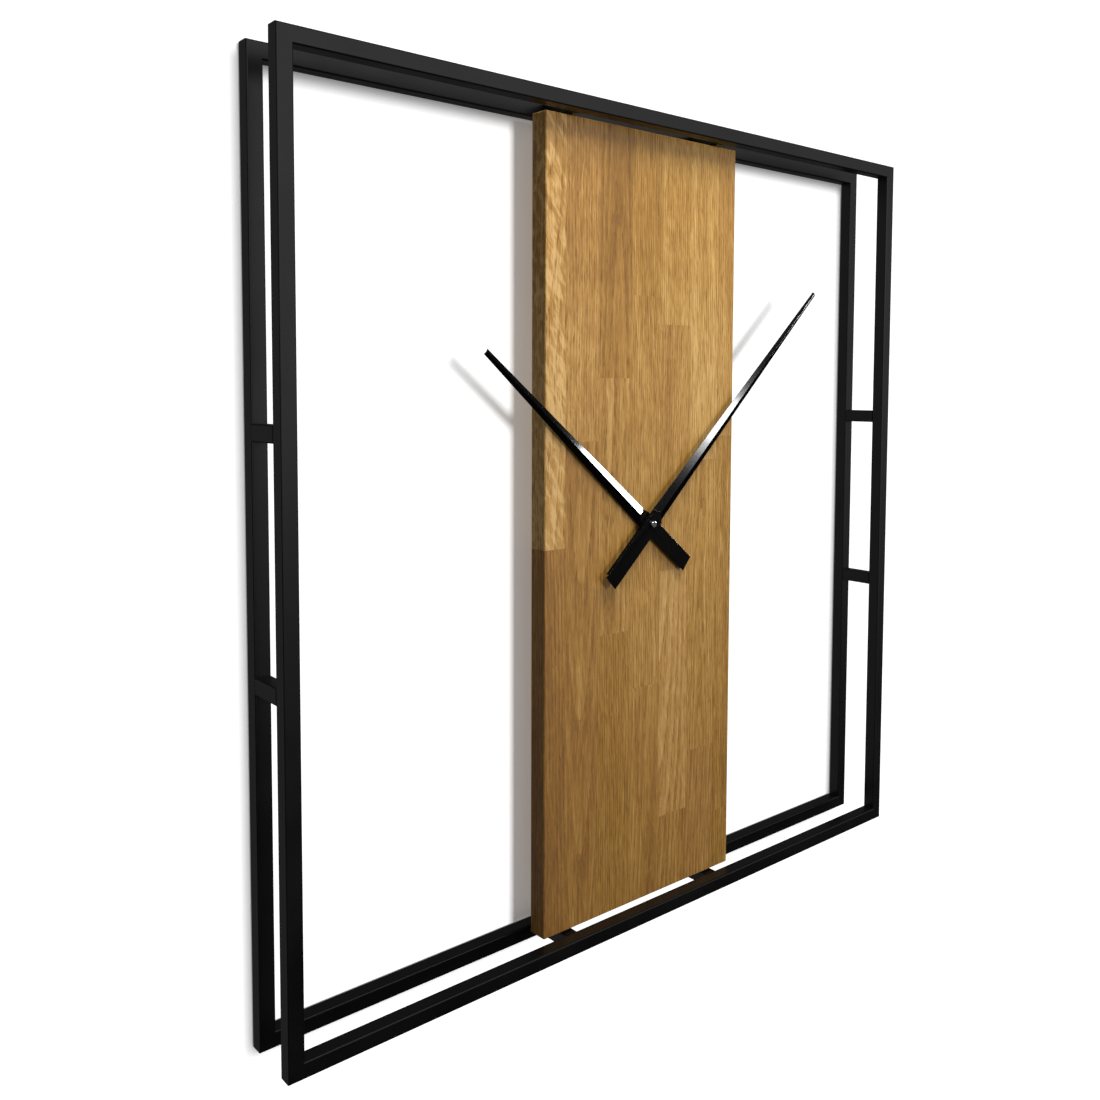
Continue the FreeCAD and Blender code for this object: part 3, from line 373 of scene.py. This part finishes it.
def plastic(name, colour, roughness, texture=1400.0, depth=0.03 * MM, variation=0.25):
    """Moulded plastic with the fine texture of the mould and faint flow marks."""
    s = Shader(name)
    skin = s.noise(s.place, texture, 2.0)
    flow = s.noise(s.vector("MULTIPLY", s.place, (60, 60, 180)), detail=3.0)
    other = tuple(c * (1 - variation) for c in colour)
    s.set(Base_Color=s.mix(flow, rgb(*colour), rgb(*other)))
    s.set(Roughness=s.range(skin, 0.3, 0.7, roughness * 0.85, roughness * 1.15))
    s.bump(skin, depth, 0.6)
    return s.material


def enamelled_wire():
    """Turns of fine wire round the coil, side by side along X."""
    s = Shader("copper_winding")
    x = s.split(s.place)[0]
    turn = s.math("PINGPONG", s.math("DIVIDE", x, 0.22 * MM), 0.5)
    layer = s.noise(s.place, 500.0, 2.0)
    # The colour darkens into the grooves between the turns: painted shade.
    s.set(Base_Color=s.mix(turn, rgb(0.16, 0.045, 0.012), rgb(0.62, 0.22, 0.07)), Metallic=0.85)
    s.set(Roughness=s.range(layer, 0.3, 0.7, 0.26, 0.42))
    s.bump(turn, 0.08 * MM)
    return s.material


def circuit_board():
    """Green solder mask over straight copper tracks, with small tinned pads."""
    s = Shader("solder_mask")
    x, _, z = s.split(s.place)
    track = s.range(s.math("PINGPONG", s.math("DIVIDE", z, 2.4 * MM), 0.5), 0.28, 0.34)
    pad_x = s.range(s.math("PINGPONG", s.math("DIVIDE", x, 3.0 * MM), 0.5), 0.36, 0.40)
    pad_z = s.range(s.math("PINGPONG", s.math("DIVIDE", z, 4.8 * MM), 0.5), 0.42, 0.45)
    pad = s.math("MULTIPLY", pad_x, pad_z)
    green = s.mix(track, rgb(0.010, 0.085, 0.030), rgb(0.020, 0.150, 0.050))
    s.set(Base_Color=s.mix(pad, green, rgb(0.62, 0.62, 0.60)), Metallic=pad)
    s.set(Roughness=s.math("SUBTRACT", 0.38, s.math("MULTIPLY", pad, 0.1)))
    s.bump(s.math("ADD", track, pad), 0.04 * MM)
    return s.material


def battery_sleeve():
    """Printed foil with no lettering: a deep blue can and a pale band at the raised end."""
    s = Shader("battery_sleeve")
    x = s.split(s.place)[0]
    band = s.range(x, 13.0 * MM, 13.3 * MM)
    stripe = s.range(s.math("ABSOLUTE", s.math("ADD", x, 21.5 * MM)), 0.9 * MM, 1.1 * MM, 1.0, 0.0)
    scuff = s.range(s.noise(s.vector("MULTIPLY", s.place, (80, 400, 400)), detail=4.0), 0.60, 0.78)
    colour = s.mix(band, rgb(0.012, 0.035, 0.11), rgb(0.50, 0.50, 0.48))
    colour = s.mix(stripe, colour, rgb(0.50, 0.50, 0.48))
    s.set(Base_Color=s.mix(s.math("MULTIPLY", scuff, 0.4), colour, rgb(0.45, 0.45, 0.45)))
    s.set(Metallic=0.35, Roughness=s.range(scuff, 0.0, 1.0, 0.28, 0.5))
    s.bump(scuff, 0.02 * MM)
    return s.material


MATERIALS = {
    "frame_black": powder_coat(),
    "oak": oak(),
    "hand_black": lacquer(),
    "bright_steel": metal("zinc_plate", (0.62, 0.62, 0.66), 0.32),
    "nylon": plastic("black_nylon", (0.012, 0.012, 0.013), 0.5),
    "gasket_rubber": plastic("rubber", (0.012, 0.012, 0.012), 0.8, 700.0, 0.06 * MM),
    "cap_nut_nickel": metal("black_nickel", (0.15, 0.15, 0.155), 0.10, (400, 400, 400), 0.004 * MM),
    "brass": metal("turned_brass", (0.66, 0.45, 0.17), 0.28, (300, 2500, 300)),
    "case_plastic": plastic("black_abs", (0.016, 0.016, 0.017), 0.46, 1100.0, 0.05 * MM),
    "plate_plastic": plastic("natural_plastic", (0.55, 0.52, 0.42), 0.45),
    "gear_plastic": plastic("acetal", (0.72, 0.71, 0.66), 0.34, 1800.0, 0.01 * MM, 0.08),
    "stator_steel": metal("annealed_steel", (0.36, 0.34, 0.32), 0.42, (60, 900, 900)),
    "coil_wire": enamelled_wire(),
    "bobbin_plastic": plastic("bobbin", (0.03, 0.03, 0.034), 0.5),
    "magnet": metal("sintered_magnet", (0.09, 0.09, 0.10), 0.5, (1500, 1500, 1500)),
    "board": circuit_board(),
    "chip_resin": plastic("chip_resin", (0.008, 0.008, 0.008), 0.22, 500.0, 0.05 * MM),
    "crystal_can": metal("crystal_can", (0.66, 0.66, 0.68), 0.2, (900, 900, 60)),
    "contact_nickel": metal("nickel_strip", (0.60, 0.58, 0.52), 0.25, (900, 60, 900)),
    "battery_sleeve": battery_sleeve(),
    "battery_steel": metal("battery_steel", (0.62, 0.62, 0.64), 0.25, (80, 900, 900)),
}


def paint_nodes():
    slots = {p["node"]: p["material_slot"] for p in frame["record"]["subparts"]}
    for name, node in frame["nodes"].items():
        node.data.materials.clear()
        node.data.materials.append(MATERIALS[slots[name]])


# ---------------------------------------------------------------- pieces
def add_piece(name, mesh, body, slot, replaced=()):
    """Puts a finished bmesh in the scene as a piece of the clock."""
    data = bpy.data.meshes.new(name)
    mesh.normal_update()
    mesh.to_mesh(data)
    mesh.free()
    piece = bpy.data.objects.new(name, data)
    bpy.context.scene.collection.objects.link(piece)
    data.materials.append(MATERIALS[slot])
    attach(piece, body)
    if replaced:
        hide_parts(*replaced)
    return piece


def round_edges(piece, width, segments=3, angle=12.0):
    bevel = piece.modifiers.new("edges", "BEVEL")
    bevel.width = width
    bevel.segments = segments
    bevel.limit_method = "ANGLE"
    bevel.angle_limit = math.radians(angle)
    bevel.harden_normals = True
    for polygon in piece.data.polygons:
        polygon.use_smooth = True


def folded_hand(name):
    """A hand of folded sheet: a flanged tail, a flat hub with the shaft's hole and a ridged blade."""
    length, tail, tip, bore, angle = HANDS[name]
    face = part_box(name)[0].y
    mesh = bmesh.new()

    def corner(along, across, back=0.0):
        return mesh.verts.new((across, back, along))

    def half_width(along):
        return HAND_HALF_WIDTH + (tip - HAND_HALF_WIDTH) * along / length

    edge, foot = half_width(FOLD_EDGE), half_width(FOLD_FOOT)
    apex, ridge_end = corner(FOLD_APEX, 0.0), corner(length, 0.0)
    tail_end, flange_end = -tail, FLANGE_CUT_BACK - tail
    sides = []
    for side in (1, -1):
        shoulder = corner(FOLD_EDGE, side * edge)
        middle = corner(0.0, side * HAND_HALF_WIDTH)
        notch = corner(flange_end, side * HAND_HALF_WIDTH)
        end = corner(tail_end, side * HAND_HALF_WIDTH)
        bottom = corner(FOLD_FOOT, side * foot, foot * FOLD_SLOPE)
        point = corner(length, side * tip, tip * FOLD_SLOPE)
        lips = [corner(s, side * HAND_HALF_WIDTH, FLANGE_DEPTH + SHEET) for s in (0.0, flange_end)]
        mesh.faces.new((apex, shoulder, bottom))
        mesh.faces.new((apex, bottom, point, ridge_end))
        mesh.faces.new((middle, notch, lips[1], lips[0]))
        mesh.faces.new((shoulder, middle, lips[0], bottom))
        sides.append([shoulder, middle, notch, end])
    outline = [apex] + sides[0] + sides[1][::-1]
    turns = [2 * math.pi * i / HOLE_SIDES for i in range(HOLE_SIDES)]
    hole = [corner(bore * math.sin(t), bore * math.cos(t)) for t in turns]
    rim = outline + hole
    for triangle in tessellate_polygon([[v.co for v in outline], [v.co for v in hole]]):
        mesh.faces.new([rim[i] for i in triangle])
    bmesh.ops.recalc_face_normals(mesh, faces=mesh.faces)
    if next(f for f in mesh.faces if ridge_end in f.verts).normal.y > 0:
        bmesh.ops.reverse_faces(mesh, faces=mesh.faces)
    mesh.transform(Matrix.Translation((DIAL.x, face, DIAL.z)) @ Matrix.Rotation(angle, 4, "Y"))
    piece = add_piece(name + "_folded", mesh, name + "_set", "hand_black", [name])
    solid = piece.modifiers.new("sheet", "SOLIDIFY")
    solid.thickness = SHEET
    solid.offset = -1.0
    solid.use_even_offset = True
    round_edges(piece, 0.3 * MM, 3)
    return piece


# ---------------------------------------------------------------- stage, light and camera
def plane(name, corners, material):
    data = bpy.data.meshes.new(name)
    data.from_pydata(corners, [], [(0, 1, 2, 3)])
    data.materials.append(material)
    made = bpy.data.objects.new(name, data)
    bpy.context.scene.collection.objects.link(made)
    return made


def wall_paint():
    """White paint that can't be seen from behind, so the clock's back shows in views from there."""
    s = Shader("white_wall")
    s.set(Base_Color=rgb(1.0, 1.0, 1.0), Roughness=0.9, Specular_IOR_Level=0.0)
    s.set(Emission_Color=rgb(1, 1, 1), Emission_Strength=WALL_GLOW)
    behind = s.add("ShaderNodeNewGeometry").outputs["Backfacing"]
    clear = s.add("ShaderNodeBsdfTransparent")
    either = s.add("ShaderNodeMixShader")
    s.feed(either.inputs[0], behind)
    s.feed(either.inputs[1], s.surface.outputs[0])
    s.feed(either.inputs[2], clear.outputs[0])
    s.feed(s.output.inputs["Surface"], either.outputs[0])
    return s.material


def floor_paint():
    s = Shader("pale_floor")
    s.set(Base_Color=rgb(0.8, 0.8, 0.79), Roughness=0.8)
    s.set(Emission_Color=rgb(1, 1, 1), Emission_Strength=FLOOR_GLOW)
    return s.material


def stage():
    back = 0.6 * MM
    ground = PANEL_LOW.z - 0.95
    upright = [(-6, back, ground), (6, back, ground), (6, back, 5), (-6, back, 5)]
    level = [(-6, -8, ground), (6, -8, ground), (6, 8, ground), (-6, 8, ground)]
    wall = plane("wall", upright, wall_paint())
    floor = plane("floor", level, floor_paint())
    wall.visible_shadow = False
    wall.visible_diffuse = False
    wall.visible_glossy = False
    floor.visible_glossy = False
    floor.visible_diffuse = False
    return wall


def softbox(name, at, towards, size, power):
    """A rectangular light at one place, pointed at another."""
    data = bpy.data.lights.new(name, "AREA")
    data.shape = "RECTANGLE"
    data.size, data.size_y = size
    data.energy = power
    light = bpy.data.objects.new(name, data)
    bpy.context.scene.collection.objects.link(light)
    light.location = at
    light.rotation_euler = (Vector(towards) - Vector(at)).to_track_quat("-Z", "Y").to_euler()
    return light


def windows(pieces):
    """Puts up the strips of light, which are seen only in the gloss of the pieces."""
    lit = bpy.data.collections.new("lacquered")
    for piece in pieces:
        lit.objects.link(piece)
    for name, (start, end, width, radiances) in WINDOWS.items():
        start, end = Vector(start), Vector(end)
        step = (end - start) / len(radiances)
        along = step.normalized()
        for i, radiance in enumerate(radiances):
            middle = start + step * (i + 0.5)
            power = radiance * math.pi * step.length * width
            light = softbox(f"{name}_{i}", middle, DIAL, (step.length, width), power)
            across = (middle - DIAL).cross(along).normalized()
            light.rotation_euler = Matrix((along, across, along.cross(across))).transposed().to_euler()
            light.visible_diffuse = False
            light.visible_camera = False
            light.light_linking.receiver_collection = lit


def daylight(wall):
    """Broad light on the wall alone, a little from the right and above, for the clock's shadows."""
    data = bpy.data.lights.new("daylight", "SUN")
    data.energy = DAYLIGHT_STRENGTH
    data.angle = DAYLIGHT_SPREAD
    light = bpy.data.objects.new("daylight", data)
    bpy.context.scene.collection.objects.link(light)
    light.rotation_euler = Vector(DAYLIGHT_HEADING).to_track_quat("-Z", "Y").to_euler()
    light.visible_glossy = False
    only = bpy.data.collections.new("wall_alone")
    only.objects.link(wall)
    light.light_linking.receiver_collection = only


def lights(wall):
    """The room's lights, which leave the wall to its own light and don't show in gloss."""
    rest = bpy.data.collections.new("all_but_the_wall")
    rest.objects.link(wall)
    rest.collection_objects[0].light_linking.link_state = "EXCLUDE"
    for light in (
        softbox("key", DIAL + KEY_FROM_DIAL, DIAL, KEY_SIZE, KEY_POWER),
        softbox("ceiling", CEILING_AT, DIAL, CEILING_SIZE, CEILING_POWER),
        softbox("behind", BEHIND_AT, DIAL, BEHIND_SIZE, BEHIND_POWER),
    ):
        light.visible_glossy = False
        light.light_linking.receiver_collection = rest


def ramp(tree, value, low, high, to_low, to_high):
    """Eases from to_low to to_high as value goes from low to high."""
    node = tree.nodes.new("ShaderNodeMapRange")
    node.interpolation_type = "SMOOTHSTEP"
    for socket, v in zip(node.inputs, (value, low, high, to_low, to_high)):
        if isinstance(v, bpy.types.NodeSocket):
            tree.links.new(v, socket)
        else:
            socket.default_value = v
    return node.outputs["Result"]


def world():
    """Even light all round. In gloss the room is bright in front, above the floor, and dim elsewhere."""
    made = bpy.data.worlds.new("studio")
    bpy.context.scene.world = made
    made.use_nodes = True
    tree = made.node_tree
    background = next(n for n in tree.nodes if n.type == "BACKGROUND")
    background.inputs["Color"].default_value = rgb(1, 1, 1)
    path = tree.nodes.new("ShaderNodeLightPath")
    direction = tree.nodes.new("ShaderNodeTexCoord")
    parts = tree.nodes.new("ShaderNodeSeparateXYZ")
    tree.links.new(direction.outputs["Generated"], parts.inputs[0])
    front = ramp(tree, parts.outputs["Y"], -1.0, -0.25, 1.5, 0.05)
    front = ramp(tree, parts.outputs["Z"], -0.32, 0.04, 0.02, front)
    wall = ramp(tree, parts.outputs["X"], -0.7, -0.35, 0.45, 0.07)
    gloss = ramp(tree, parts.outputs["Y"], 0.1, 0.7, front, wall)
    unseen = ramp(tree, path.outputs["Is Glossy Ray"], 0.0, 1.0, WORLD_LIGHT, gloss)
    strength = ramp(tree, path.outputs["Is Camera Ray"], 0.0, 1.0, unseen, WORLD_SEEN)
    tree.links.new(strength, background.inputs["Strength"])


def camera():
    data = bpy.data.cameras.new("camera")
    data.lens = CAMERA_LENS
    data.sensor_width = 36.0
    data.shift_x, data.shift_y = CAMERA_SHIFT
    data.clip_start = 0.01
    made = bpy.data.objects.new("camera", data)
    bpy.context.scene.collection.objects.link(made)
    made.location = CAMERA_AT
    made.rotation_euler = (math.pi / 2 + CAMERA_TILT, CAMERA_ROLL, -CAMERA_TURN)
    bpy.context.scene.camera = made


paint_nodes()
hands = [folded_hand(name) for name in HANDS]
wall = stage()
lights(wall)
daylight(wall)
windows([*hands, frame["nodes"]["minute_hand_nut"]])
world()
camera()
bpy.context.scene.view_settings.view_transform = "Standard"
